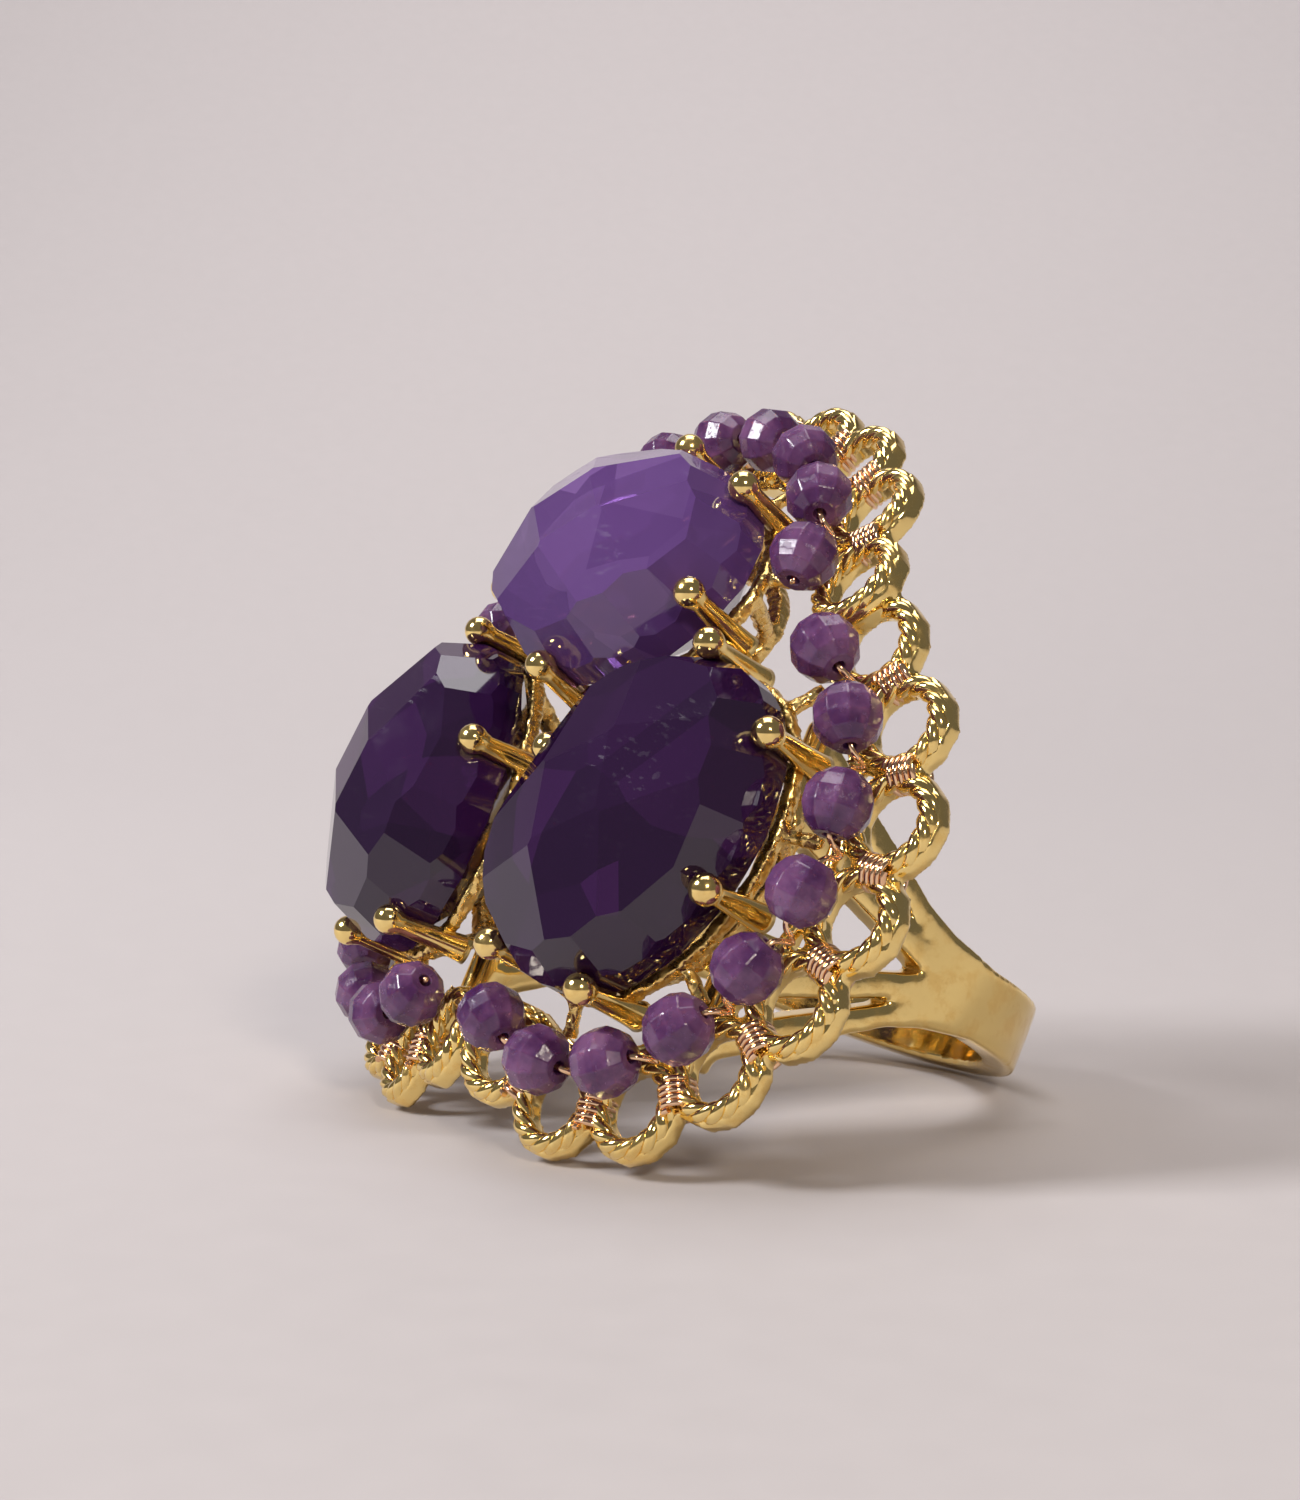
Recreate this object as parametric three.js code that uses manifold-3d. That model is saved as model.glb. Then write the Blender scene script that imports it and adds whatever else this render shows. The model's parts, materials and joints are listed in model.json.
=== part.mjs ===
// Cocktail ring: three checkerboard-cut oval stones in open baskets with ball-tipped prongs, a scalloped
// border of rings that carries small drilled beads threaded on wire, and a split shank of four tines a side.
// Millimetres, +Z up. The ring leans back on its lower scallops and on the back of its shank.
import * as THREE from "three";
import { mergeVertices } from "three/addons/utils/BufferGeometryUtils.js";
import Module from "manifold-3d";

const wasm = await Module();
wasm.setup();

// Gap between pieces that are soldered or set against each other.
const SOLDER_GAP = 0.05;

// Straight sides in an oval outline.
const OVAL_SIDES = 36;

// Oval stones: the girdle's length and width, and the heights above and below it.
const STONE_LENGTH = 14;
const STONE_WIDTH = 10.4;
const CROWN_HEIGHT = 4.7;
const GIRDLE_THICKNESS = 0.4;
const PAVILION_DEPTH = 2.5;
const PAVILION_ANGLE = THREE.MathUtils.degToRad(35);
const CHECKER_PITCH = 0.65;
const CHECKER_REACH = 0.86;
const RIM_FACETS = 16;
const RIM_PLACE = 0.965;

// Baskets: an upper rail under the girdle, a smaller lower rail, struts between and arms to the border.
const UPPER_RAIL_OUT = 0.1;
const UPPER_RAIL_WIDTH = 0.55;
const UPPER_RAIL_TOP = -0.68;
const UPPER_RAIL_HEIGHT = 0.6;
const LOWER_RAIL_INSET = 1.6;
const LOWER_RAIL_WIDTH = 0.8;
const LOWER_RAIL_HEIGHT = 0.7;
const BASKET_DEPTH = 3.9;
const STRUT_RADIUS = 0.4;
const ARM_RADIUS = 0.32;
const ARM_DROP = 1.0;
const ARM_SPREAD = THREE.MathUtils.degToRad(78);

// Prongs: a flared foot, a straight stem and a ball tip beside the crown.
const PRONG_SIDES = 6;
const PRONG_FOOT_RADIUS = 0.6;
const PRONG_RADIUS = 0.45;
const PRONG_BALL_RADIUS = 0.64;
const PRONG_FOOT_DEPTH = 1.9;
const PRONG_RISE = 1.55;
const PRONG_LAP = 0.16;
const PRONG_TIP_OUT = PRONG_BALL_RADIUS - PRONG_LAP;
const PRONG_SPREAD = THREE.MathUtils.degToRad(52);
const INNER_PRONG_SPREAD = THREE.MathUtils.degToRad(72);

// Beads and the wire that they turn on.
const BEAD_RADIUS = 1.4;
const BEAD_HALF_LENGTH = 1.22;
const BEAD_SIDES = 7;
const WIRE_RADIUS = 0.15;
const BEAD_HOLE_CLEARANCE = 0.08;
const WIRE_STEPS = 9;
const BEAD_GAP = 1.2;
const BEAD_OUT = BEAD_GAP + BEAD_RADIUS;
const BEAD_DROP = 0.4;
const SIDE_BEADS = 9;
const TOP_BEADS = 8;

// Border: one ring under and outside each bead, on a band round each basket.
const LOOP_BEYOND_BEAD = 0.35;
const LOOP_RADIUS = BEAD_RADIUS + LOOP_BEYOND_BEAD;
const LOOP_WIRE = 0.42;
const LOOP_WALL = 0.8;
const LOOP_OUT = 1.15;
const LOOP_SIDES = 12;
const BAND_WIDTH = 0.5;
const BAND_HEIGHT = 0.8;

// Where the three stones sit in the head: x across, y towards the top stone, z out of the head. Their places
// follow their size and the beads', so that the gaps between the lobes hold.
const SIDE_STONE_LEAN = THREE.MathUtils.degToRad(20);
const STONE_TILT = THREE.MathUtils.degToRad(13);
const SIDE_STONE_GAP = 2.3;
const LEANED_HALF_WIDTH = Math.hypot(
  (STONE_WIDTH / 2) * Math.cos(SIDE_STONE_LEAN),
  (STONE_LENGTH / 2) * Math.sin(SIDE_STONE_LEAN),
);
const SIDE_STONE_X = LEANED_HALF_WIDTH + SIDE_STONE_GAP;
const SIDE_STONE_Y = -0.22 * STONE_LENGTH;
const STONE_NESTING = 5.6;
const TOP_STONE_Y = STONE_WIDTH / 2 + 0.35 * STONE_LENGTH + 2 * BEAD_RADIUS - STONE_NESTING;

// Shank: a plain band at the back whose flat faces fan out into tines, two close pairs a side, that end on a
// bearer bar under each side basket. Widths and heights of the fan are measured from the band's middle line.
const FINGER_RADIUS = 8.7;
const SHANK_THICKNESS = 1.45;
const BACK_WIDTH = 3;
const SHANK_DROP = 3.5;
const SHANK_SIDES = 44;
const FAN_STEPS = 8;
const FORK_BELOW_BEARER = 7.6;
const FORK_WIDTH = 4.6;
const FAN_WIDTH = 13.6;
const TINE_WIDTH = 1.5;
const PAIR_GAP = 1.1;
const SLIT_TIP = 0.12;
const BEARER_RADIUS = 0.72;
const BEARER_OUT = 0.9;
const FINGER_TO_BEARER = 0.4;

const GOLD = 0xd9a441;
const AMETHYST = 0x3a1150;
const PALE_AMETHYST = 0x6d4684;

const V = (x, y, z) => new THREE.Vector3(x, y, z);

function toSolid(geometry) {
  const bare = geometry.clone();
  bare.deleteAttribute("normal");
  bare.deleteAttribute("uv");
  const merged = mergeVertices(bare, 1e-4);
  return new wasm.Manifold(
    new wasm.Mesh({
      numProp: 3,
      vertProperties: merged.attributes.position.array,
      triVerts: new Uint32Array(merged.index.array),
    }),
  );
}

function toGeometry(solid) {
  const mesh = solid.getMesh();
  const geometry = new THREE.BufferGeometry();
  geometry.setAttribute("position", new THREE.BufferAttribute(new Float32Array(mesh.vertProperties), 3));
  geometry.setIndex(new THREE.BufferAttribute(new Uint32Array(mesh.triVerts), 1));
  return geometry;
}

function joined(geometries) {
  return toGeometry(geometries.map(toSolid).reduce((whole, part) => whole.add(part)));
}

// The turn and place that carry +Z onto a direction at a point.
function along(direction, point) {
  const turn = new THREE.Quaternion().setFromUnitVectors(V(0, 0, 1), direction.clone().normalize());
  return new THREE.Matrix4().makeRotationFromQuaternion(turn).setPosition(point);
}

function rod(from, to, radius, sides) {
  const length = from.distanceTo(to);
  const cylinder = new THREE.CylinderGeometry(radius, radius, length, sides);
  cylinder.rotateX(Math.PI / 2).translate(0, 0, length / 2);
  return cylinder.applyMatrix4(along(to.clone().sub(from), from));
}

function tube(curve, radius, sides, steps) {
  const section = new THREE.Shape();
  section.absarc(0, 0, radius, 0, 2 * Math.PI);
  const settings = { steps, curveSegments: sides / 2, extrudePath: curve, bevelEnabled: false };
  return new THREE.ExtrudeGeometry(section, settings);
}

// A ring between two ovals that lie the same distance from the girdle all round.
function ovalRail(outside, width, bottom, height) {
  const shape = new THREE.Shape();
  shape.absellipse(0, 0, STONE_WIDTH / 2 + outside, STONE_LENGTH / 2 + outside, 0, 2 * Math.PI);
  const hole = new THREE.Path();
  const inside = outside - width;
  hole.absellipse(0, 0, STONE_WIDTH / 2 + inside, STONE_LENGTH / 2 + inside, 0, 2 * Math.PI);
  shape.holes.push(hole);
  const settings = { depth: height, curveSegments: OVAL_SIDES / 2, bevelEnabled: false };
  const rail = new THREE.ExtrudeGeometry(shape, settings);
  return rail.translate(0, 0, bottom);
}

// A point on the oval that lies a distance outside the girdle, at an angle from the width.
function onOval(angle, outside, z) {
  return V((STONE_WIDTH / 2 + outside) * Math.cos(angle), (STONE_LENGTH / 2 + outside) * Math.sin(angle), z);
}

function ovalNormal(angle, outside) {
  const x = Math.cos(angle) / (STONE_WIDTH / 2 + outside);
  const y = Math.sin(angle) / (STONE_LENGTH / 2 + outside);
  return V(x, y, 0).normalize();
}

// ---- Stone ----

function cutBy(solid, point, normal) {
  const size = 2 * STONE_LENGTH;
  const block = new THREE.BoxGeometry(size, size, size).translate(0, 0, size / 2);
  return solid.subtract(toSolid(block.applyMatrix4(along(normal, point))));
}

function stoneGeometry() {
  const halfWidth = STONE_WIDTH / 2;
  const halfLength = STONE_LENGTH / 2;
  const halfGirdle = GIRDLE_THICKNESS / 2;
  const dome = CROWN_HEIGHT - halfGirdle;
  const outline = new THREE.Shape();
  outline.absellipse(0, 0, halfWidth, halfLength, 0, 2 * Math.PI);
  const height = CROWN_HEIGHT + PAVILION_DEPTH;
  const settings = { depth: height, curveSegments: OVAL_SIDES / 2, bevelEnabled: false };
  const blank = new THREE.ExtrudeGeometry(outline, settings);
  let solid = toSolid(blank.translate(0, 0, -PAVILION_DEPTH));
  const domeFacet = (x, y) => {
    const rise = Math.sqrt(1 - x * x - y * y);
    const point = V(x * halfWidth, y * halfLength, halfGirdle + dome * rise);
    const normal = V(x / halfWidth, y / halfLength, rise / dome).normalize();
    solid = cutBy(solid, point, normal);
  };
  const rows = Math.ceil(2 / CHECKER_PITCH);
  for (let row = -rows; row <= rows; row++) {
    for (let column = -rows; column <= rows; column++) {
      const x = (column + (row % 2 === 0 ? 0 : 0.5)) * CHECKER_PITCH;
      const y = (row * CHECKER_PITCH) / 2;
      if (Math.hypot(x, y) < CHECKER_REACH) domeFacet(x, y);
    }
  }
  for (let i = 0; i < RIM_FACETS; i++) {
    const angle = ((i + 0.5) * 2 * Math.PI) / RIM_FACETS;
    domeFacet(RIM_PLACE * Math.cos(angle), RIM_PLACE * Math.sin(angle));
    const outward = ovalNormal(angle, 0);
    const below = V(
      outward.x * Math.sin(PAVILION_ANGLE),
      outward.y * Math.sin(PAVILION_ANGLE),
      -Math.cos(PAVILION_ANGLE),
    );
    solid = cutBy(solid, onOval(angle, 0, -halfGirdle), below);
  }
  return toGeometry(solid);
}

// ---- Basket ----

function basketGeometry() {
  const railBottom = UPPER_RAIL_TOP - UPPER_RAIL_HEIGHT;
  const parts = [
    ovalRail(UPPER_RAIL_OUT, UPPER_RAIL_WIDTH, railBottom, UPPER_RAIL_HEIGHT),
    ovalRail(-LOWER_RAIL_INSET, LOWER_RAIL_WIDTH, -BASKET_DEPTH, LOWER_RAIL_HEIGHT),
  ];
  const railMiddle = UPPER_RAIL_OUT - UPPER_RAIL_WIDTH / 2;
  const lowerMiddle = -LOWER_RAIL_INSET - LOWER_RAIL_WIDTH / 2;
  for (const angle of strutAngles()) {
    const top = onOval(angle, railMiddle, railBottom + UPPER_RAIL_HEIGHT / 2);
    const foot = onOval(angle, lowerMiddle, -BASKET_DEPTH + LOWER_RAIL_HEIGHT / 2);
    parts.push(rod(top, foot, STRUT_RADIUS, 6));
  }
  for (const angle of [-ARM_SPREAD, -PRONG_SPREAD / 2, PRONG_SPREAD / 2, ARM_SPREAD]) {
    const reach = bandInside() - SOLDER_GAP;
    const armStart = onOval(angle, railMiddle, railBottom + ARM_RADIUS / 2);
    const armEnd = onOval(angle, reach, railBottom - ARM_DROP / 2);
    parts.push(rod(armStart, armEnd, ARM_RADIUS, 6));
  }
  return joined(parts);
}

// Prongs stand at both ends of the width and a spread above and below it; struts stand between them.
function prongAngles() {
  const outer = PRONG_SPREAD;
  const inner = INNER_PRONG_SPREAD;
  return [outer, 0, -outer, Math.PI + inner, Math.PI, Math.PI - inner];
}

function strutAngles() {
  const outer = PRONG_SPREAD / 2;
  const inner = INNER_PRONG_SPREAD / 2;
  return [outer, -outer, -Math.PI / 2, Math.PI + inner, Math.PI - inner, Math.PI / 2];
}

function bandInside() {
  return UPPER_RAIL_OUT + 2 * SOLDER_GAP + 2 * PRONG_FOOT_RADIUS;
}

// ---- Prong ----

function prongGeometry(angle) {
  const outward = ovalNormal(angle, 0);
  const footOut = UPPER_RAIL_OUT + SOLDER_GAP + PRONG_FOOT_RADIUS;
  const foot = onOval(angle, 0, -PRONG_FOOT_DEPTH).addScaledVector(outward, footOut);
  const tip = onOval(angle, 0, PRONG_RISE).addScaledVector(outward, PRONG_TIP_OUT);
  const length = foot.distanceTo(tip);
  const ball = PRONG_BALL_RADIUS;
  const neck = Math.sqrt(ball * ball - PRONG_RADIUS * PRONG_RADIUS);
  const profile = [
    new THREE.Vector2(0, 0),
    new THREE.Vector2(PRONG_FOOT_RADIUS, 0),
    new THREE.Vector2(PRONG_FOOT_RADIUS, length * 0.15),
    new THREE.Vector2(PRONG_RADIUS, length * 0.4),
    new THREE.Vector2(PRONG_RADIUS, length - neck),
    new THREE.Vector2(ball, length),
    new THREE.Vector2(ball * Math.SQRT1_2, length + ball * Math.SQRT1_2),
    new THREE.Vector2(0, length + ball),
  ];
  const prong = new THREE.LatheGeometry(profile, PRONG_SIDES).rotateX(Math.PI / 2);
  return prong.applyMatrix4(along(tip.sub(foot), foot));
}

// ---- Beads, wire and border ----

// Places spaced evenly along the beads' oval from one angle to another.
function evenPlaces(from, to, count) {
  const steps = 400;
  const at = (k) => from + ((to - from) * k) / steps;
  const lengths = [0];
  for (let k = 1; k <= steps; k++) {
    lengths.push(lengths[k - 1] + onOval(at(k - 1), BEAD_OUT, 0).distanceTo(onOval(at(k), BEAD_OUT, 0)));
  }
  const places = [];
  for (let i = 0; i < count; i++) {
    const wanted = (lengths[steps] * i) / (count - 1);
    const k = lengths.findIndex((length) => length >= wanted - 1e-9);
    const angle = at(k);
    const outward = ovalNormal(angle, BEAD_OUT);
    const centre = onOval(angle, BEAD_OUT, -BEAD_DROP);
    places.push({ centre, outward, run: V(outward.y, -outward.x, 0) });
  }
  return places;
}

function beadGeometry(place) {
  const hole = WIRE_RADIUS + BEAD_HOLE_CLEARANCE;
  const half = BEAD_HALF_LENGTH;
  const profile = [
    [hole, -half],
    [0.62 * BEAD_RADIUS, -half],
    [0.93 * BEAD_RADIUS, -0.45 * half],
    [BEAD_RADIUS, 0],
    [0.93 * BEAD_RADIUS, 0.45 * half],
    [0.62 * BEAD_RADIUS, half],
    [hole, half],
    [hole, -half],
  ].map(([radius, height]) => new THREE.Vector2(radius, height));
  const bead = new THREE.LatheGeometry(profile, BEAD_SIDES).rotateX(Math.PI / 2);
  return bead.applyMatrix4(along(place.run, V(0, 0, 0)));
}

function loopDepth() {
  const near = LOOP_OUT - LOOP_RADIUS;
  const apart = BEAD_RADIUS + LOOP_WIRE + SOLDER_GAP;
  return BEAD_DROP + Math.sqrt(apart * apart - near * near);
}

// The wire runs straight through each bead and dips to the border between beads.
function wireGeometry(places) {
  const dip = loopDepth() - LOOP_WIRE - WIRE_RADIUS - SOLDER_GAP - BEAD_DROP;
  const points = [];
  places.forEach((place, i) => {
    const next = places[i + 1];
    const straight = BEAD_HALF_LENGTH + 0.05;
    const clear = straight + 0.12;
    for (const step of [-clear, -straight, straight, clear]) {
      points.push(place.centre.clone().addScaledVector(place.run, step));
    }
    if (next) {
      const middle = place.centre.clone().add(next.centre).multiplyScalar(0.5);
      middle.addScaledVector(place.outward, LOOP_OUT / 4);
      points.push(middle.setZ(middle.z - dip));
    }
  });
  const curve = new THREE.CatmullRomCurve3(points, false, "centripetal");
  return tube(curve, WIRE_RADIUS, 6, places.length * WIRE_STEPS);
}

function loopGeometry(place) {
  const radius = LOOP_RADIUS;
  const wire = LOOP_WIRE;
  const profile = [
    [radius - wire, -LOOP_WALL],
    [radius + wire, -LOOP_WALL],
    [radius + wire, 0],
    [radius, wire],
    [radius - wire, 0],
    [radius - wire, -LOOP_WALL],
  ].map(([across, height]) => new THREE.Vector2(across, height));
  const loop = new THREE.LatheGeometry(profile, LOOP_SIDES).rotateX(Math.PI / 2);
  const centre = place.centre.clone().addScaledVector(place.outward, LOOP_OUT);
  return loop.translate(centre.x, centre.y, -loopDepth());
}

// The band follows the basket from a lobe's first bead to its last.
function bandGeometry(from, to) {
  const inside = bandInside();
  const outside = inside + BAND_WIDTH;
  const halfWidth = STONE_WIDTH / 2;
  const halfLength = STONE_LENGTH / 2;
  const shape = new THREE.Shape();
  shape.absellipse(0, 0, halfWidth + outside, halfLength + outside, from, to, true);
  shape.absellipse(0, 0, halfWidth + inside, halfLength + inside, to, from, false);
  const band = new THREE.ExtrudeGeometry(shape, {
    depth: BAND_HEIGHT,
    curveSegments: OVAL_SIDES / 4,
    bevelEnabled: false,
  });
  return band.translate(0, 0, -loopDepth() + LOOP_WIRE / 2 - BAND_HEIGHT);
}

// ---- Shank ----

function bearerPlace() {
  const outward = BEARER_OUT;
  const under = -BASKET_DEPTH / Math.cos(STONE_TILT) - (outward + BEARER_RADIUS) * Math.tan(STONE_TILT);
  return { x: SIDE_STONE_X + outward, z: under - SOLDER_GAP - BEARER_RADIUS };
}

function fingerHeight() {
  return bearerPlace().z - FINGER_TO_BEARER - FINGER_RADIUS;
}

// The shank seen along the finger: an arc round the finger whose ends run up to the bearers.
function shankHoop() {
  const middle = fingerHeight();
  const inner = FINGER_RADIUS;
  const outer = FINGER_RADIUS + SHANK_THICKNESS;
  const bearer = bearerPlace();
  const half = SHANK_THICKNESS / 2;
  const bend = (bearer.z - middle) / 2;
  const hoop = new THREE.Shape();
  hoop.moveTo(bearer.x + half, bearer.z);
  hoop.bezierCurveTo(bearer.x + half, bearer.z - bend, outer, middle + bend, outer, middle);
  hoop.absarc(0, middle, outer, 0, -Math.PI, true);
  hoop.bezierCurveTo(-outer, middle + bend, -bearer.x - half, bearer.z - bend, -bearer.x - half, bearer.z);
  hoop.lineTo(-bearer.x + half, bearer.z);
  hoop.bezierCurveTo(-bearer.x + half, bearer.z - bend, -inner, middle + bend, -inner, middle);
  hoop.absarc(0, middle, inner, Math.PI, 2 * Math.PI, false);
  hoop.bezierCurveTo(inner, middle + bend, bearer.x - half, bearer.z - bend, bearer.x - half, bearer.z);
  const settings = { depth: 2 * FAN_WIDTH, curveSegments: SHANK_SIDES, bevelEnabled: false };
  const solid = new THREE.ExtrudeGeometry(hoop, settings).translate(0, 0, -FAN_WIDTH);
  return solid.rotateX(Math.PI / 2).translate(0, -SHANK_DROP, 0);
}

// A flat outline of points across the fan and up it, made solid right through the shank.
function throughShank(points) {
  const depth = 4 * FINGER_RADIUS;
  const prism = new THREE.ExtrudeGeometry(new THREE.Shape(points), { depth, bevelEnabled: false });
  const turn = new THREE.Matrix4().makeBasis(V(0, 1, 0), V(0, 0, 1), V(1, 0, 0));
  return toSolid(prism.translate(0, 0, -depth / 2).applyMatrix4(turn).translate(0, -SHANK_DROP, 0));
}

// The shank seen from the side: the plain band, then the fan with its three slits.
function shankFan() {
  const top = bearerPlace().z;
  const fork = top - FORK_BELOW_BEARER;
  const bottom = fingerHeight() - FINGER_RADIUS - 2 * SHANK_THICKNESS;
  const back = BACK_WIDTH / 2;
  const forkHalf = FORK_WIDTH / 2;
  const fanHalf = FAN_WIDTH / 2;
  const place = (x, y) => new THREE.Vector2(x, y);
  const middle = (from, to) => (from + to) / 2;
  const flare = new THREE.SplineCurve([
    place(back, fork - FORK_BELOW_BEARER / 2),
    place(forkHalf, fork),
    place(middle(forkHalf, fanHalf), middle(fork, top)),
    place(fanHalf, top),
  ]).getPoints(FAN_STEPS);
  const edge = [place(back, bottom), ...flare];
  const mirrored = edge.map((point) => place(-point.x, point.y)).reverse();
  // Each slit runs from a narrow tip at the fork up to the bearer, between two places across the fan.
  const slit = (tip, from, to) => {
    const side = (foot, head) => {
      const bow = place(middle(tip, head), middle(fork, top));
      return new THREE.QuadraticBezierCurve(place(foot, fork), bow, place(head, top)).getPoints(FAN_STEPS);
    };
    return throughShank([...side(tip + SLIT_TIP / 2, to), ...side(tip - SLIT_TIP / 2, from).reverse()]);
  };
  const pairOuter = fanHalf - TINE_WIDTH;
  const pairInner = pairOuter - PAIR_GAP;
  const middleGap = pairInner - TINE_WIDTH;
  return throughShank([...edge, ...mirrored])
    .subtract(slit(0, -middleGap, middleGap))
    .subtract(slit(forkHalf / 2, pairInner, pairOuter))
    .subtract(slit(-forkHalf / 2, -pairOuter, -pairInner));
}

function shankGeometry() {
  let solid = toSolid(shankHoop()).intersect(shankFan());
  const bearer = bearerPlace();
  for (const side of [-1, 1]) {
    const half = FAN_WIDTH / 2 + BEARER_RADIUS / 2;
    const from = V(side * bearer.x, -SHANK_DROP - half, bearer.z);
    const to = V(side * bearer.x, -SHANK_DROP + half, bearer.z);
    solid = solid.add(toSolid(rod(from, to, BEARER_RADIUS, 10)));
  }
  return toGeometry(solid);
}

// ---- Assembly ----

function piece(name, geometry, colour, roughness, metalness) {
  const material = new THREE.MeshStandardMaterial({ color: colour, roughness, metalness });
  const mesh = new THREE.Mesh(geometry, material);
  mesh.name = name;
  return mesh;
}

const gold = (name, geometry) => piece(name, geometry, GOLD, 0.2, 1);

// Each lobe has its own frame: x out of the head along the stone's width, y along its length, z outwards.
function lobeFrame(lobe) {
  const frame = new THREE.Group();
  frame.position.set(lobe.x, lobe.y, 0);
  const tilt = new THREE.Quaternion().setFromAxisAngle(lobe.tiltAxis, STONE_TILT);
  const turn = new THREE.Quaternion().setFromAxisAngle(V(0, 0, 1), lobe.turn);
  frame.quaternion.copy(tilt).multiply(turn);
  return frame;
}

const lobes = [
  {
    name: "right",
    x: SIDE_STONE_X,
    y: SIDE_STONE_Y,
    tiltAxis: V(0, 1, 0),
    turn: -SIDE_STONE_LEAN,
    from: THREE.MathUtils.degToRad(80),
    to: THREE.MathUtils.degToRad(-100),
    beads: SIDE_BEADS,
  },
  {
    name: "left",
    x: -SIDE_STONE_X,
    y: SIDE_STONE_Y,
    tiltAxis: V(0, -1, 0),
    turn: Math.PI + SIDE_STONE_LEAN,
    from: THREE.MathUtils.degToRad(100),
    to: THREE.MathUtils.degToRad(-80),
    beads: SIDE_BEADS,
  },
  {
    name: "top",
    x: 0,
    y: TOP_STONE_Y,
    tiltAxis: V(-1, 0, 0),
    turn: Math.PI / 2,
    from: THREE.MathUtils.degToRad(78),
    to: THREE.MathUtils.degToRad(-78),
    beads: TOP_BEADS,
  },
];

const head = new THREE.Group();
const stone = stoneGeometry();
const basket = basketGeometry();
const borderParts = [];

for (const lobe of lobes) {
  const frame = lobeFrame(lobe);
  frame.updateMatrix();
  const places = evenPlaces(lobe.from, lobe.to, lobe.beads);
  frame.add(piece(`stone_${lobe.name}`, stone, AMETHYST, 0.05, 0));
  frame.add(gold(`basket_${lobe.name}`, basket));
  prongAngles().forEach((angle, i) => {
    frame.add(gold(`prong_${lobe.name}_${i + 1}`, prongGeometry(angle)));
  });
  places.forEach((place, i) => {
    const bead = piece(`bead_${lobe.name}_${i + 1}`, beadGeometry(place), PALE_AMETHYST, 0.15, 0);
    bead.position.copy(place.centre);
    frame.add(bead);
    borderParts.push(loopGeometry(place).applyMatrix4(frame.matrix));
  });
  frame.add(gold(`bead_wire_${lobe.name}`, wireGeometry(places)));
  borderParts.push(bandGeometry(lobe.from, lobe.to).applyMatrix4(frame.matrix));
  head.add(frame);
}
head.add(gold("rope_border", joined(borderParts)));
head.add(gold("split_shank", shankGeometry()));

// The ring leans back until its lower scallops and the back of its shank touch one level plane.
function lowest(group, lean, names) {
  group.rotation.x = Math.PI / 2 - lean;
  group.updateMatrixWorld(true);
  const box = new THREE.Box3();
  for (const name of names) box.expandByObject(group.getObjectByName(name), true);
  return box.min.z;
}

let upright = 0;
let leaning = Math.PI / 3;
for (let i = 0; i < 30; i++) {
  const lean = (upright + leaning) / 2;
  const frontIsHigher = lowest(head, lean, ["rope_border"]) > lowest(head, lean, ["split_shank"]);
  if (frontIsHigher) leaning = lean;
  else upright = lean;
}
lowest(head, (upright + leaning) / 2, ["rope_border"]);
const box = new THREE.Box3().setFromObject(head, true);
head.position.set(0, -(box.min.y + box.max.y) / 2, -box.min.z);

const cocktailRing = new THREE.Group();
cocktailRing.add(head);

export default cocktailRing;
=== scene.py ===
import json
import math

import bmesh
import bpy
from mathutils import Matrix, Vector


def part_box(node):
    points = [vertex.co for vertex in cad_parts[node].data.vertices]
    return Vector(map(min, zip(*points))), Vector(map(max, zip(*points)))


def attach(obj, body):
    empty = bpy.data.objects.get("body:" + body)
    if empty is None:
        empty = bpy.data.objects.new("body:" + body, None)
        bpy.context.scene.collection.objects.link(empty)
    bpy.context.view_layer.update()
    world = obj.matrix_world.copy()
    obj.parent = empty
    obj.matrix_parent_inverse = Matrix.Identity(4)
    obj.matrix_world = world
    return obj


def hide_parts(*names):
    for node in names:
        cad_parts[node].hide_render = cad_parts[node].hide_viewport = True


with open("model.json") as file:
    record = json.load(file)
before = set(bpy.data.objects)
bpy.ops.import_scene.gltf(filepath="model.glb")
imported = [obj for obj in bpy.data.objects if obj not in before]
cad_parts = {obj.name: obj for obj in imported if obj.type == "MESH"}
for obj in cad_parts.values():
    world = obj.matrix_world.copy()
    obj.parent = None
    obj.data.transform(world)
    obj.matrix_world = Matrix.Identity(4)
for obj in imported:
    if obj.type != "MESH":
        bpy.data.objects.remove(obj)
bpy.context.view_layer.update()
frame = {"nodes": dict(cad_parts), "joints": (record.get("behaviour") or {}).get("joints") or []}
MM = 0.001


# ---- Stones ----
# Three domed oval stones of violet glass, cut with a checkerboard crown and polished; the prongs hold them.
# The two lower ones are so deep in colour that they look black; the upper one lets light through.

LOBES = ("right", "left", "top")


class Value:
    """One output of a shader node, which can be added, multiplied and so on like a number."""

    def __init__(self, finish, socket):
        self.finish = finish
        self.socket = socket

    def math(self, operation, a, b):
        return self.finish.add("Math", {0: a, 1: b}, operation=operation)

    def __add__(self, other):
        return self.math("ADD", self, other)

    __radd__ = __add__

    def __mul__(self, other):
        return self.math("MULTIPLY", self, other)

    __rmul__ = __mul__

    def __sub__(self, other):
        return self.math("SUBTRACT", self, other)

    def __rsub__(self, other):
        return self.math("SUBTRACT", other, self)

    def __pow__(self, other):
        return self.math("POWER", self, other)

    def above(self, edge, width):
        """0 below the edge, 1 above it, and a smooth step of this width between."""
        ends = {"From Min": edge - width / 2, "From Max": edge + width / 2}
        return self.finish.add("MapRange", {"Value": self, **ends}, interpolation_type="SMOOTHSTEP")


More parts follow.
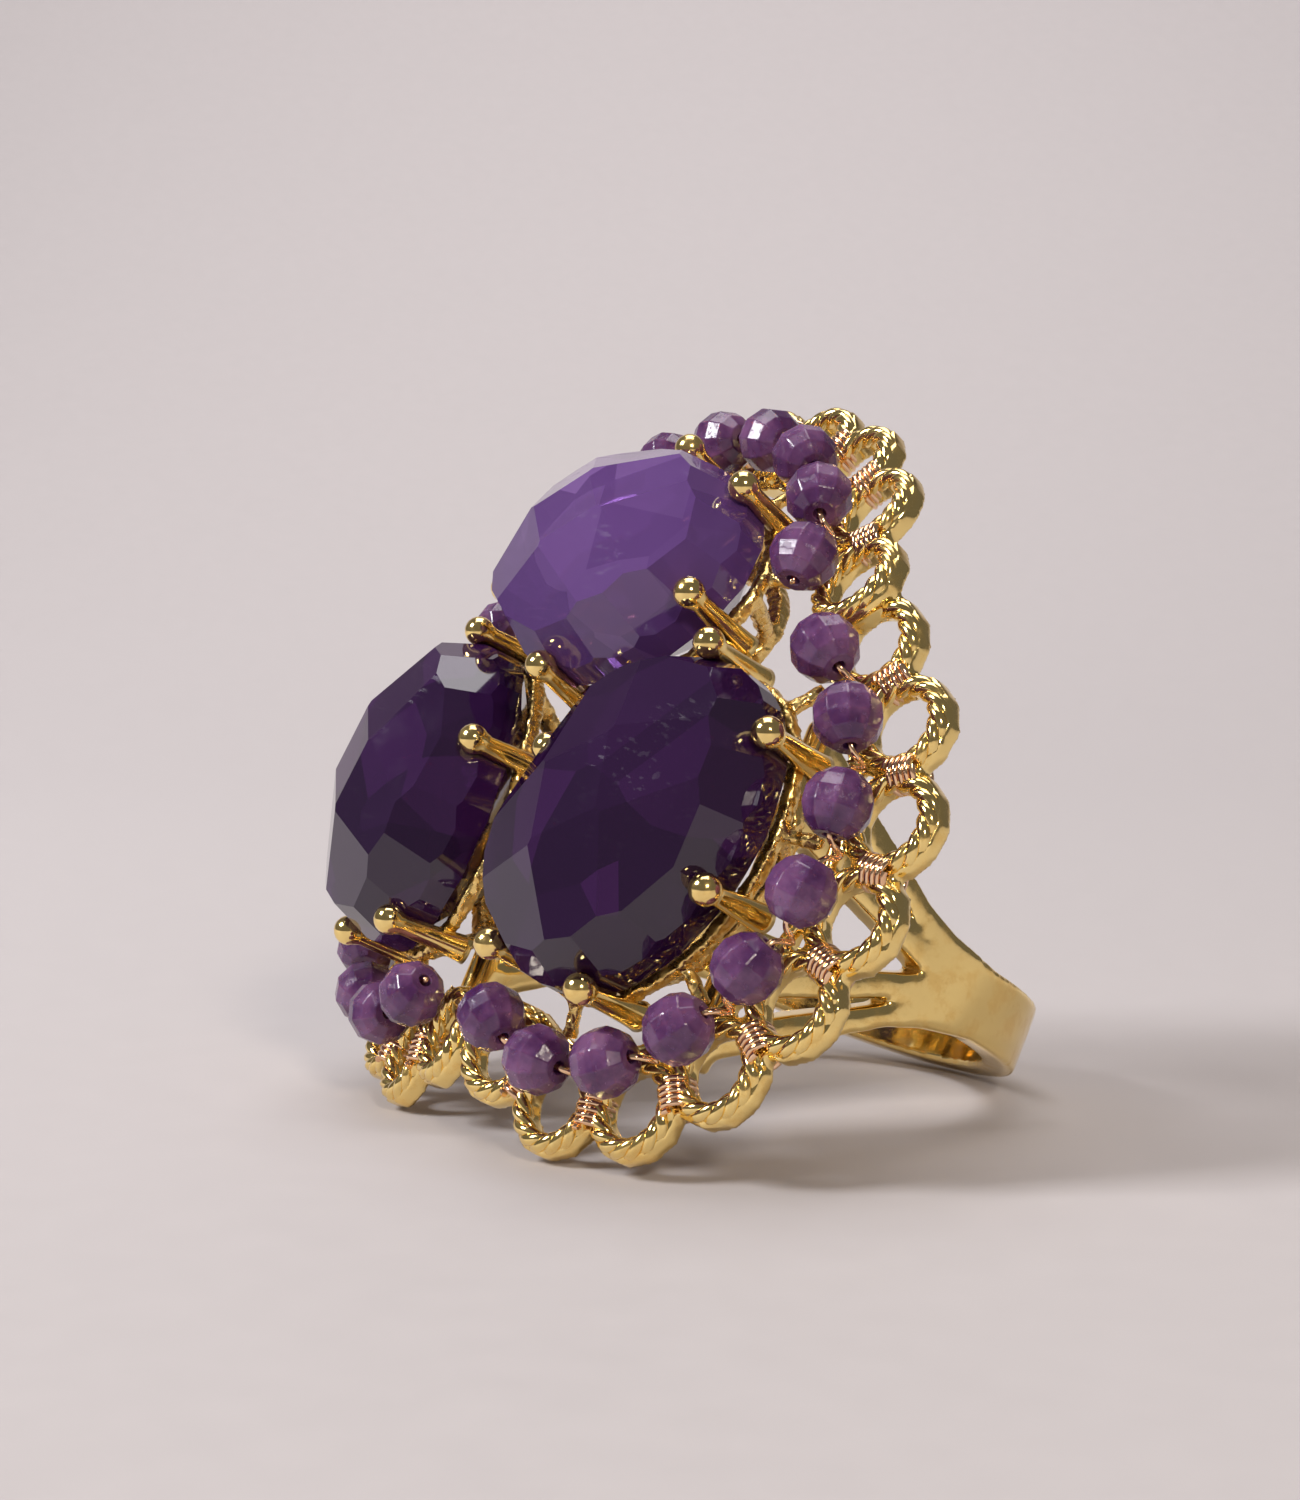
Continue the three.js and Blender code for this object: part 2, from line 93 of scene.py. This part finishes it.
class Finish:
    """A material whose nodes all come from add(); its patterns lie on the object's own coordinates."""

    def __init__(self, name):
        self.material = bpy.data.materials.new(name)
        self.material.use_nodes = True
        self.tree = self.material.node_tree
        self.tree.nodes.clear()
        self.place = self.add("TexCoord", out="Object")

    def add(self, kind, inputs=(), out=0, **settings):
        node = self.tree.nodes.new("ShaderNode" + kind)
        for key, value in settings.items():
            setattr(node, key, value)
        for key, value in dict(inputs).items():
            if isinstance(value, Value):
                self.tree.links.new(value.socket, node.inputs[key])
            else:
                node.inputs[key].default_value = value
        return None if out is None else Value(self, node.outputs[out])

    def mix(self, mask, low, high):
        return self.add("Mix", {0: mask, 6: low, 7: high}, out=2, data_type="RGBA")

    def noise(self, per_mm, detail, place=None, rough=0.5):
        inputs = {"Vector": place or self.place, "Scale": per_mm / MM, "Detail": detail, "Roughness": rough}
        return self.add("TexNoise", inputs)

    def cells(self, per_mm, out="Distance", place=None, **settings):
        inputs = {"Vector": place or self.place, "Scale": per_mm / MM}
        return self.add("TexVoronoi", inputs, out=out, **settings)

    def stretched(self, turn, scale):
        return self.add("Mapping", {"Vector": self.place, "Rotation": turn, "Scale": scale})

    def bump(self, height, strength, distance_mm, below=None):
        inputs = {"Height": height, "Strength": strength, "Distance": distance_mm * MM}
        if below is not None:
            inputs["Normal"] = below
        return self.add("Bump", inputs)

    def surface(self, **inputs):
        named = {key.replace("_", " "): value for key, value in inputs.items()}
        shader = self.add("BsdfPrincipled", named)
        self.add("OutputMaterial", {"Surface": shader}, out=None)
        return self.material


def stone_glass(name, deep, veil_and_painted_glint, clear):
    """Polished violet glass: soft veils of lighter colour inside, painted glints of inner reflection in
    lighter cells, fine slanting scratches, a thin bloom.
    """
    finish = Finish(name)
    veil = finish.noise(0.14, detail=2.0)
    # Slanted cells, cubed so that only a few come out light, are painted glints: light reflected inside the
    # stone drawn into its colour.
    tilted = finish.stretched((0.5, 0.9, 0.3), (1.0, 0.45, 1.0))
    painted_glint_cells = finish.cells(0.34, out="Color", place=tilted)
    painted_glint = finish.add("SeparateColor", {"Color": painted_glint_cells}) ** 3.0
    # The lighter colour serves both the glass's own veils and the painted glints.
    colour = finish.mix(painted_glint * 0.55 + veil * 0.3, deep, veil_and_painted_glint)
    slanted = finish.stretched((0.5, 0.9, 0.3), (1.0, 16.0, 16.0))
    scratch = finish.noise(0.3, detail=5.0, place=slanted).above(0.6, 0.08)
    patch = finish.noise(0.2, detail=1.0).above(0.55, 0.12)
    bloom = finish.noise(0.45, detail=4.0).above(0.58, 0.3)
    worn = finish.noise(1.6, detail=3.0)
    return finish.surface(
        Base_Color=colour,
        Roughness=0.035 + scratch * patch * 0.16 + bloom * 0.05,
        Normal=finish.bump(worn, 0.04, 0.01),
        IOR=1.6,
        Transmission_Weight=clear,
        Specular_IOR_Level=0.6,
    )


# Each glass's lighter colour is used for its real veils and for its painted glints of inner reflection.
deep_glass = stone_glass(
    "deep_amethyst_glass", deep=(0.010, 0.002, 0.018, 1), veil_and_painted_glint=(0.055, 0.012, 0.09, 1), clear=0.15
)
pale_glass = stone_glass(
    "pale_amethyst_glass", deep=(0.10, 0.035, 0.19, 1), veil_and_painted_glint=(0.30, 0.16, 0.46, 1), clear=0.4
)


def paint(piece, material):
    piece.data.materials.clear()
    piece.data.materials.append(material)


for lobe, glass in zip(LOBES, (deep_glass, deep_glass, pale_glass)):
    paint(frame["nodes"]["stone_" + lobe], glass)


# ---- Baskets ----
# Each stone sits in an open cast basket: a thin bright bezel line under the girdle and, below it, a wall of
# sandy, granular gold. The basket is a smoothed copy of its CAD node with the grains raised on it.

BASKET_VOXEL = 0.13 * MM
BASKET_POLISH = 3
GRAIN_SIZE = 0.42 * MM
GRAIN_HEIGHT = 0.16 * MM
GRAIN_LEVEL = 0.55
WELD_DISTANCE = 0.0005 * MM


def gold(name, base, shade, sandiness):
    """Plated gold: a warm drift of colour, soft dents and hairlines; polished at 0, all grains at 1."""
    finish = Finish(name)
    drift = finish.noise(0.25, detail=4.0)
    stain = finish.noise(0.9, detail=5.0, rough=0.65).above(0.56, 0.2)
    colour = finish.mix(stain * 0.45 + drift * 0.25, base, shade)
    lines = finish.stretched((0.4, 0.2, 0.9), (1.0, 18.0, 18.0))
    hairline = finish.noise(0.3, detail=5.0, place=lines).above(0.6, 0.08)
    dents = finish.noise(0.7, detail=2.0)
    grain = finish.cells(3.4, feature="SMOOTH_F1")
    low = finish.bump(dents, 0.12, 0.05)
    sand = finish.bump(1 - grain, 0.15 + 0.7 * sandiness, 0.02 + 0.1 * sandiness, below=low)
    return finish.surface(
        Base_Color=colour,
        Metallic=1.0 - stain * 0.06,
        Roughness=0.1 + 0.14 * sandiness + hairline * 0.07 + stain * 0.1,
        Normal=sand,
    )


bright_gold = gold("bright_gold", base=(1.0, 0.77, 0.31, 1), shade=(0.93, 0.6, 0.17, 1), sandiness=0.0)
sandy_gold = gold("sandy_gold", base=(1.0, 0.72, 0.27, 1), shade=(0.8, 0.45, 0.1, 1), sandiness=1.0)


def new_object(name, data):
    thing = bpy.data.objects.new(name, data)
    bpy.context.scene.collection.objects.link(thing)
    return thing


def add_piece(name, mesh, material, body="root"):
    """Puts a finished mesh in the scene as one piece that rides on a body."""
    piece = new_object(name, mesh)
    paint(piece, material)
    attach(piece, body)
    return piece


def welded(node):
    """A bmesh copy of a CAD node with its loose triangles joined."""
    shape = bmesh.new()
    shape.from_mesh(frame["nodes"][node].data)
    bmesh.ops.remove_doubles(shape, verts=shape.verts, dist=WELD_DISTANCE)
    return shape


def shade_faces(mesh, smooth):
    for face in mesh.polygons:
        face.use_smooth = smooth
    return mesh


def to_mesh(shape, name):
    """A smooth mesh from a bmesh, which is freed."""
    bmesh.ops.recalc_face_normals(shape, faces=shape.faces)
    mesh = bpy.data.meshes.new(name)
    shape.to_mesh(mesh)
    shape.free()
    return shade_faces(mesh, True)


def taken_from(holder):
    """The plain smooth mesh of an object after its modifiers; the object itself is removed."""
    graph = bpy.context.evaluated_depsgraph_get()
    result = bpy.data.meshes.new_from_object(holder.evaluated_get(graph))
    bpy.data.objects.remove(holder)
    return shade_faces(result, True)


def settled(mesh, modifiers):
    """The mesh after these modifiers, given as (type, settings)."""
    holder = new_object("holder", mesh)
    for kind, settings in modifiers:
        modifier = holder.modifiers.new(kind, kind)
        for key, value in settings.items():
            setattr(modifier, key, value)
    return taken_from(holder)


def polished(voxel, rounds):
    """The modifiers that join a casting into one skin of even facets and round its edges off."""
    return [
        ("REMESH", {"mode": "VOXEL", "voxel_size": voxel}),
        ("SMOOTH", {"factor": 0.5, "iterations": rounds}),
    ]


grain_pattern = bpy.data.textures.new("grains", "CLOUDS")
grain_pattern.noise_scale = GRAIN_SIZE
grain_pattern.noise_depth = 1
raised = ("DISPLACE", {"texture": grain_pattern, "strength": GRAIN_HEIGHT, "mid_level": GRAIN_LEVEL})
for lobe in LOBES:
    node = "basket_" + lobe
    mesh = settled(to_mesh(welded(node), node), polished(BASKET_VOXEL, BASKET_POLISH) + [raised])
    basket = add_piece("granular_" + node, mesh, sandy_gold)
    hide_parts(node)


# ---- Prongs ----
# Six polished wires hold each stone. Each is soldered to the basket by a flared foot, runs up beside the
# girdle, narrows to a neck and ends in a round ball pressed over the stone's edge.

PRONG_BALL = 0.63 * MM
PRONG_STEM = 0.46 * MM
PRONG_NECK = 0.41 * MM
PRONG_FOOT = 0.62 * MM
PRONG_SIDES = 24
# The stem's radius at each share of the prong's length.
PRONG_TAPER = ((0.0, PRONG_FOOT), (0.06, PRONG_FOOT * 0.92), (0.2, PRONG_STEM * 1.12), (0.4, PRONG_STEM))
# The ball is drawn in this many steps from pole to pole, of which the neck hides the first few.
BALL_STEPS = 10
BALL_HIDDEN_STEPS = 3
# The middle of a prong's foot is taken from this many of its lowest points.
FOOT_POINTS = 12


def lathed(shape, profile, sides, place):
    """Adds to a bmesh the body turned from (radius, height) pairs; a closed profile has no radius of 0."""
    rings = []
    for radius, height in profile:
        if radius == 0:
            rings.append([shape.verts.new(place @ Vector((0, 0, height)))])
            continue
        angles = [2 * math.pi * k / sides for k in range(sides)]
        points = [Vector((radius * math.cos(a), radius * math.sin(a), height)) for a in angles]
        rings.append([shape.verts.new(place @ point) for point in points])
    closed = len(rings[0]) > 1
    pairs = list(zip(rings, rings[1:] + rings[:1] if closed else rings[1:]))
    for low, high in pairs:
        for k in range(sides):
            corners = [low[k % len(low)], low[(k + 1) % len(low)]]
            corners += [high[(k + 1) % len(high)], high[k % len(high)]]
            shape.faces.new(list(dict.fromkeys(corners)))


def upright(axis, origin, across=None):
    """The placing matrix whose z runs along the axis and whose x lies along across."""
    z = axis.normalized()
    x = (across or z.orthogonal()).normalized()
    y = z.cross(x).normalized()
    turned = Matrix((x, y, z)).transposed().to_4x4()
    return Matrix.Translation(origin) @ turned


def outward_of(lobe):
    """The way a lobe's stone faces: square to the runs of two of its beads, and away from the finger."""
    runs = [Vector(joint["axis"]) for joint in frame["joints"] if lobe in joint["name"]]
    normal = runs[0].cross(runs[3]).normalized()
    return normal if normal.y < 0 else -normal


for node in sorted(name for name in frame["nodes"] if name.startswith("prong_")):
    facing = outward_of(node.split("_")[1])
    points = sorted((v.co.copy() for v in frame["nodes"][node].data.vertices), key=facing.dot)
    foot = sum(points[:FOOT_POINTS], Vector()) / FOOT_POINTS
    tip = points[-1]
    length = (tip - foot).length
    ball = length - PRONG_BALL
    profile = [(0, 0)]
    profile += [(radius, length * share) for share, radius in PRONG_TAPER]
    profile.append((PRONG_NECK, ball - PRONG_BALL))
    for k in range(BALL_HIDDEN_STEPS, BALL_STEPS):
        angle = math.pi * (k / BALL_STEPS - 0.5)
        profile.append((PRONG_BALL * math.cos(angle), ball + PRONG_BALL * math.sin(angle)))
    profile.append((0, length))
    shape = bmesh.new()
    lathed(shape, profile, PRONG_SIDES, upright(tip - foot, foot))
    prong = add_piece("polished_" + node, to_mesh(shape, node), bright_gold)
    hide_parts(node)


# ---- Border ----
# A scalloped border soldered round the baskets: one deep polished ring under each bead, the rings run
# together in smooth saddles, and a twisted rope of three wires lies on each ring's front edge.

# A ring's middle lies this far outside its bead's wire and this far behind it.
LOOP_OUT = 1.15 * MM
LOOP_DEPTH = 1.77 * MM
# A ring's wall is an upright slot in section: two half rounds, with their middles at these heights.
LOOP_RADIUS = 1.73 * MM
WALL_HALF = 0.4 * MM
WALL_FRONT = -0.3 * MM
WALL_BACK = -0.4 * MM
WALL_POINTS = 14
LOOP_SIDES = 44
RIDGE_DROP = 0.5 * MM
RIDGE_START = RIDGE_DROP / 4
BORDER_VOXEL = 0.13 * MM
BORDER_POLISH = 5
ROPE_RADIUS = 1.63 * MM
ROPE_RISE = -0.03 * MM
ROPE_TURNS = 5.0
ROPE_STEPS = 90
STRANDS = 3
STRAND_RADIUS = 0.25 * MM
STRAND_OFFSET = 0.19 * MM
STRAND_SIDES = 8

loops = []
for joint in frame["joints"]:
    lobe = joint["name"].split("_")[1]
    facing = outward_of(lobe)
    low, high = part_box("stone_" + lobe)
    run = Vector(joint["axis"]).normalized()
    out = facing.cross(run).normalized()
    if out.dot(Vector(joint["pos_m"]) - (low + high) / 2) < 0:
        out = -out
    centre = Vector(joint["pos_m"]) + out * LOOP_OUT - facing * LOOP_DEPTH
    loops.append({"lobe": lobe, "place": upright(facing, centre, out)})

wall = []
for k in range(WALL_POINTS):
    angle = 2 * math.pi * (k + 0.5) / WALL_POINTS
    middle = WALL_FRONT if angle < math.pi else WALL_BACK
    wall.append((LOOP_RADIUS + WALL_HALF * math.cos(angle), middle + WALL_HALF * math.sin(angle)))
shape = welded("rope_border")
for loop in loops:
    # The ring's front ridge is lowered to leave room for the rope.
    flat = loop["place"].inverted()
    for vertex in shape.verts:
        here = flat @ vertex.co
        if here.z > RIDGE_START and here.xy.length < LOOP_RADIUS + WALL_HALF:
            vertex.co -= loop["place"].col[2].to_3d() * RIDGE_DROP
for loop in loops:
    lathed(shape, wall, LOOP_SIDES, loop["place"])
mesh = settled(to_mesh(shape, "scallops"), polished(BORDER_VOXEL, BORDER_POLISH))
scallops = add_piece("polished_scallops", mesh, bright_gold)
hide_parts("rope_border")


class Graph:
    """A Geometry Nodes tree that sets one shape on many points, with a named input for each size."""

    def __init__(self, name, sizes):
        self.tree = bpy.data.node_groups.new(name, "GeometryNodeTree")
        self.tree.interface.new_socket("Geometry", in_out="INPUT", socket_type="NodeSocketGeometry")
        self.values = {}
        for key, value in sizes.items():
            socket = self.tree.interface.new_socket(key, in_out="INPUT", socket_type="NodeSocketFloat")
            socket.default_value = value
            self.values[socket.identifier] = value
        self.tree.interface.new_socket("Geometry", in_out="OUTPUT", socket_type="NodeSocketGeometry")
        self.start = self.tree.nodes.new("NodeGroupInput")
        self.end = self.tree.nodes.new("NodeGroupOutput")

    def add(self, kind, inputs=(), out=0, **settings):
        node = self.tree.nodes.new(kind)
        for key, value in settings.items():
            setattr(node, key, value)
        for key, value in dict(inputs).items():
            many = value if isinstance(value, list) else [value]
            for item in many:
                if isinstance(item, bpy.types.NodeSocket):
                    self.tree.links.new(item, node.inputs[key])
                else:
                    node.inputs[key].default_value = item
        return node.outputs[out]

    def math(self, operation, a, b=0.0):
        return self.add("ShaderNodeMath", {0: a, 1: b}, operation=operation)

    def vector(self, operation, inputs):
        return self.add("ShaderNodeVectorMath", inputs, operation=operation)

    def circle(self, radius, steps):
        inputs = {"Resolution": steps, "Radius": radius}
        return self.add("GeometryNodeCurvePrimitiveCircle", inputs, mode="RADIUS")

    def finish(self, shape, material):
        """Ends the tree with the shape on each point, turned as the point says, as one painted mesh."""
        turn = self.add("GeometryNodeInputNamedAttribute", {"Name": "turn"}, data_type="FLOAT_VECTOR")
        turned = self.add("FunctionNodeEulerToRotation", {"Euler": turn})
        points = {"Points": self.start.outputs["Geometry"], "Instance": shape, "Rotation": turned}
        placed = self.add("GeometryNodeInstanceOnPoints", points)
        whole = self.add("GeometryNodeRealizeInstances", {"Geometry": placed})
        painted = self.add("GeometryNodeSetMaterial", {"Geometry": whole, "Material": material})
        self.tree.links.new(painted, self.end.inputs[0])


def grown(graph, places):
    """The plain mesh a graph makes on points at these places, each with its turn."""
    mesh = bpy.data.meshes.new("places")
    mesh.from_pydata([place.translation for place in places], [], [])
    turn = mesh.attributes.new("turn", "FLOAT_VECTOR", "POINT")
    for k, place in enumerate(places):
        turn.data[k].vector = place.to_euler()
    holder = new_object("places", mesh)
    modifier = holder.modifiers.new("grow", "NODES")
    modifier.node_group = graph.tree
    for identifier, value in graph.values.items():
        modifier[identifier] = value
    return taken_from(holder)


def rope_graph():
    """A closed ring of three wires twisted round each other."""
    sizes = {
        "Ring radius": ROPE_RADIUS,
        "Strand radius": STRAND_RADIUS,
        "Strand offset": STRAND_OFFSET,
        "Turns": ROPE_TURNS,
    }
    graph = Graph("rope_rings", sizes)
    given = graph.start.outputs
    ring = graph.circle(given["Ring radius"], ROPE_STEPS)
    along = graph.add("GeometryNodeSplineParameter")
    spin = graph.math("MULTIPLY", graph.math("MULTIPLY", along, 2 * math.pi), given["Turns"])
    radial = graph.vector("NORMALIZE", {0: graph.add("GeometryNodeInputPosition")})
    section = graph.circle(given["Strand radius"], STRAND_SIDES)
    strands = []
    for k in range(STRANDS):
        angle = graph.math("ADD", spin, 2 * math.pi * k / STRANDS)
        across = graph.math("MULTIPLY", graph.math("COSINE", angle), given["Strand offset"])
        up = graph.math("MULTIPLY", graph.math("SINE", angle), given["Strand offset"])
        sideways = graph.vector("SCALE", {0: radial, "Scale": across})
        lift = graph.add("ShaderNodeCombineXYZ", {"Z": up})
        shift = graph.vector("ADD", {0: sideways, 1: lift})
        strand = graph.add("GeometryNodeSetPosition", {"Geometry": ring, "Offset": shift})
        strands.append(graph.add("GeometryNodeCurveToMesh", {"Curve": strand, "Profile Curve": section}))
    graph.finish(graph.add("GeometryNodeJoinGeometry", {"Geometry": strands}), bright_gold)
    return graph


fronts = [loop["place"] @ Matrix.Translation((0, 0, ROPE_RISE)) for loop in loops]
ropes = add_piece("rope_rings", grown(rope_graph(), fronts), bright_gold)
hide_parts("rope_border")


# ---- Beads ----
# Small drilled beads of cloudy violet glass with squarish facets ground on them. Each turns on its wire
# over one of the rings. They are lathed with few sides, so that the facets are the mesh's own faces.

BEAD_RADIUS = 1.37 * MM
BEAD_HOLE = 0.27 * MM
BEAD_SIDES = 10
BEAD_LATITUDES = (-63, -38, -13, 13, 38, 63)
BEAD_EDGE = 0.035 * MM
BEAD_EDGE_ANGLE = 0.2


def bead_glass():
    """Cloudy moulded glass: milky drifts inside, soft ground facets with handling marks."""
    finish = Finish("cloudy_amethyst_glass")
    cloud = finish.noise(0.55, detail=5.0, rough=0.6)
    colour = finish.mix(cloud.above(0.52, 0.4), (0.085, 0.022, 0.11, 1), (0.27, 0.115, 0.28, 1))
    marks = finish.noise(3.0, detail=4.0).above(0.58, 0.15)
    normal = finish.bump(marks, 0.2, 0.02)
    return finish.surface(
        Base_Color=colour,
        Roughness=0.1 + marks * 0.16 + cloud * 0.08,
        Normal=normal,
        IOR=1.54,
        Transmission_Weight=0.35,
        Subsurface_Weight=0.25,
        Subsurface_Scale=0.8 * MM,
    )


cloudy_glass = bead_glass()
for joint in frame["joints"]:
    node = joint["child"].removesuffix("_body")
    lobe = node.split("_")[1]
    place = upright(Vector(joint["axis"]), Vector(joint["pos_m"]), outward_of(lobe))
    rings = [math.radians(angle) for angle in BEAD_LATITUDES]
    outside = [(BEAD_RADIUS * math.cos(angle), BEAD_RADIUS * math.sin(angle)) for angle in rings]
    drilled = [(BEAD_HOLE, outside[-1][1]), (BEAD_HOLE, outside[0][1])]
    shape = bmesh.new()
    lathed(shape, outside + drilled, BEAD_SIDES, place)
    worn = {"width": BEAD_EDGE, "segments": 1, "limit_method": "ANGLE", "angle_limit": BEAD_EDGE_ANGLE}
    mesh = shade_faces(settled(to_mesh(shape, node), [("BEVEL", worn)]), False)
    bead = add_piece("faceted_" + node, mesh, cloudy_glass, joint["child"])
    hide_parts(node)


# ---- Wires ----
# Each lobe's beads are strung on one thin rosy brass wire that dips down between them, and more of the
# same wire is wrapped round the saddle between every two rings.

WRAP_TURNS = 5.0
WRAP_STEPS = 26
WRAP_WIRE = 0.13 * MM
WRAP_SIDES = 8
WRAP_PITCH = 0.25 * MM
WRAP_HALF_WIDTH = 0.62 * MM
WRAP_HALF_DEPTH = 0.72 * MM
WRAP_DROP = 0.22 * MM

rosy_wire = gold("rosy_wire", base=(1.0, 0.68, 0.43, 1), shade=(0.8, 0.45, 0.24, 1), sandiness=0.0)


def wrap_graph():
    """A few turns of wire in an oval coil, with its middle on the point."""
    sizes = {
        "Turns": WRAP_TURNS,
        "Length": WRAP_TURNS * WRAP_PITCH,
        "Wire": WRAP_WIRE,
        "Half width": WRAP_HALF_WIDTH,
        "Half depth": WRAP_HALF_DEPTH,
    }
    graph = Graph("wire_wraps", sizes)
    given = graph.start.outputs
    spiral = {
        "Resolution": WRAP_STEPS,
        "Rotations": given["Turns"],
        "Start Radius": 1.0,
        "End Radius": 1.0,
        "Height": given["Length"],
    }
    coil = graph.add("GeometryNodeCurveSpiral", spiral)
    centred = graph.add("ShaderNodeCombineXYZ", {"Z": graph.math("DIVIDE", given["Length"], -2.0)})
    oval = {"X": given["Half depth"], "Y": given["Half width"], "Z": 1.0}
    squeeze = graph.add("ShaderNodeCombineXYZ", oval)
    moved = graph.vector("ADD", {0: graph.add("GeometryNodeInputPosition"), 1: centred})
    shaped = graph.vector("MULTIPLY", {0: moved, 1: squeeze})
    path = graph.add("GeometryNodeSetPosition", {"Geometry": coil, "Position": shaped})
    section = graph.circle(given["Wire"], WRAP_SIDES)
    wire = {"Curve": path, "Profile Curve": section, "Fill Caps": True}
    graph.finish(graph.add("GeometryNodeCurveToMesh", wire), rosy_wire)
    return graph


wraps = wrap_graph()
for lobe in LOBES:
    node = "bead_wire_" + lobe
    mesh = settled(to_mesh(welded(node), node), [("SUBSURF", {"levels": 1, "render_levels": 1})])
    wire = add_piece("strung_" + node, mesh, rosy_wire)
    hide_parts(node)
    along = [loop["place"] for loop in loops if loop["lobe"] == lobe]
    saddles = []
    for one, other in zip(along, along[1:]):
        facing = one.col[2].to_3d()
        out = (one.col[0].to_3d() + other.col[0].to_3d()).normalized()
        middle = (one.translation + other.translation) / 2 - facing * WRAP_DROP
        saddles.append(upright(out, middle + out * WALL_HALF, facing))
    wrapping = add_piece("wraps_" + lobe, grown(wraps, saddles), rosy_wire)
    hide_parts(node)


# ---- Shank ----
# A cast band, plain at the back, whose sides fan out into polished tines: two close pairs a side, that end
# on a bearer bar under each side basket. All its edges were softened by polishing.

SHANK_VOXEL = 0.12 * MM
SHANK_POLISH = 20

mesh = settled(to_mesh(welded("split_shank"), "split_shank"), polished(SHANK_VOXEL, SHANK_POLISH))
shank = add_piece("polished_shank", mesh, bright_gold)
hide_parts("split_shank")


# ---- Floor and light ----
# Pale seamless paper that rises behind the ring, a broad soft light high on the left, a warmer one beside
# the camera, one overhead, one on the paper behind, and a dim pale room.

CAMERA_TURN = math.radians(56)
CAMERA_RISE = math.radians(4.6)
CAMERA_DISTANCE = 115 * MM
CAMERA_LENS = 66.5
CAMERA_SENSOR = 36
CAMERA_SHIFT = (-0.045, 0.013)
CAMERA_NEAREST = 5 * MM
RING_MIDDLE = Vector((0, 0, 14 * MM))
# The paper's sizes are in metres, measured away from the camera, with the ring at 0.
PAPER_HALF = 0.8
PAPER_FRONT = -0.5
PAPER_BACK = 0.16
PAPER_BEND = 0.6
PAPER_BEND_STEPS = 16
PAPER_TOP = 1.3
PAPER_TONES = ((0.48, 0.442, 0.445, 1), (0.53, 0.488, 0.49, 1))
COOL_WHITE = (0.97, 0.98, 1.0)
LAMP_YELLOW = (1.0, 0.9, 0.76)
CREAM_WHITE = (1.0, 0.98, 0.97)
PAPER_WHITE = (1.0, 0.98, 0.98)
BACKDROP_SPREAD = math.radians(110)
ROOM_COLOUR = (0.8, 0.76, 0.76, 1)
ROOM_STRENGTH = 0.17

level = Vector((-math.sin(CAMERA_TURN), math.cos(CAMERA_TURN), 0))
side = Vector((math.cos(CAMERA_TURN), math.sin(CAMERA_TURN), 0))
up = Vector((0, 0, 1))
outline = [Vector((PAPER_FRONT, 0))]
for k in range(PAPER_BEND_STEPS + 1):
    angle = math.radians(90 * k / PAPER_BEND_STEPS)
    outline.append(Vector((PAPER_BACK + PAPER_BEND * math.sin(angle), PAPER_BEND * (1 - math.cos(angle)))))
outline.append(Vector((PAPER_BACK + PAPER_BEND, PAPER_TOP)))
shape = bmesh.new()
edges = []
for across in (-PAPER_HALF, PAPER_HALF):
    edges.append([shape.verts.new(level * p.x + side * across + up * p.y) for p in outline])
for k in range(len(outline) - 1):
    shape.faces.new([edges[0][k], edges[0][k + 1], edges[1][k + 1], edges[1][k]])
paper = new_object("paper", to_mesh(shape, "paper"))
finish = Finish("pale_paper")
fibre = finish.noise(0.4, detail=6.0)
tone = finish.mix(fibre * 0.6, *PAPER_TONES)
tooth = finish.bump(fibre, 0.1, 0.02)
paint(paper, finish.surface(Base_Color=tone, Roughness=0.6 + fibre * 0.2, Normal=tooth))


def soft_light(name, place, size, power, colour, target=RING_MIDDLE):
    """A square soft light that faces the ring, or the target if one is given."""
    data = bpy.data.lights.new(name, "AREA")
    data.size = size
    data.energy = power
    data.color = colour
    lamp = new_object(name, data)
    lamp.location = place
    lamp.rotation_euler = (target - place).to_track_quat("-Z", "Y").to_euler()
    return data


high_left = -level * 0.1 - side * 0.34 + up * 0.3
beside_camera = -level * 0.34 + side * 0.1 + up * 0.2
overhead = level * 0.16 + up * 0.5
far_overhead = level * 0.1 + up * 0.8
paper_behind = level * 0.62 + up * 0.25
soft_light("high_left", high_left, size=0.14, power=1.9, colour=COOL_WHITE)
soft_light("beside_camera", beside_camera, size=0.06, power=0.65, colour=LAMP_YELLOW)
soft_light("overhead", overhead, size=0.3, power=0.9, colour=CREAM_WHITE)
backdrop = soft_light("backdrop", far_overhead, 0.5, 2.2, PAPER_WHITE, target=paper_behind)
backdrop.spread = BACKDROP_SPREAD
world = bpy.data.worlds.new("room")
world.use_nodes = True
room = world.node_tree.nodes["Background"].inputs
room["Color"].default_value = ROOM_COLOUR
room["Strength"].default_value = ROOM_STRENGTH
bpy.context.scene.world = world
bpy.context.scene.view_settings.view_transform = "Standard"

camera_data = bpy.data.cameras.new("camera")
camera = new_object("camera", camera_data)
forward = level * math.cos(CAMERA_RISE) - up * math.sin(CAMERA_RISE)
camera.location = RING_MIDDLE - forward * CAMERA_DISTANCE
camera.rotation_euler = forward.to_track_quat("-Z", "Y").to_euler()
camera_data.sensor_width = CAMERA_SENSOR
camera_data.lens = CAMERA_LENS
camera_data.shift_x, camera_data.shift_y = CAMERA_SHIFT
camera_data.clip_start = CAMERA_NEAREST
bpy.context.scene.camera = camera
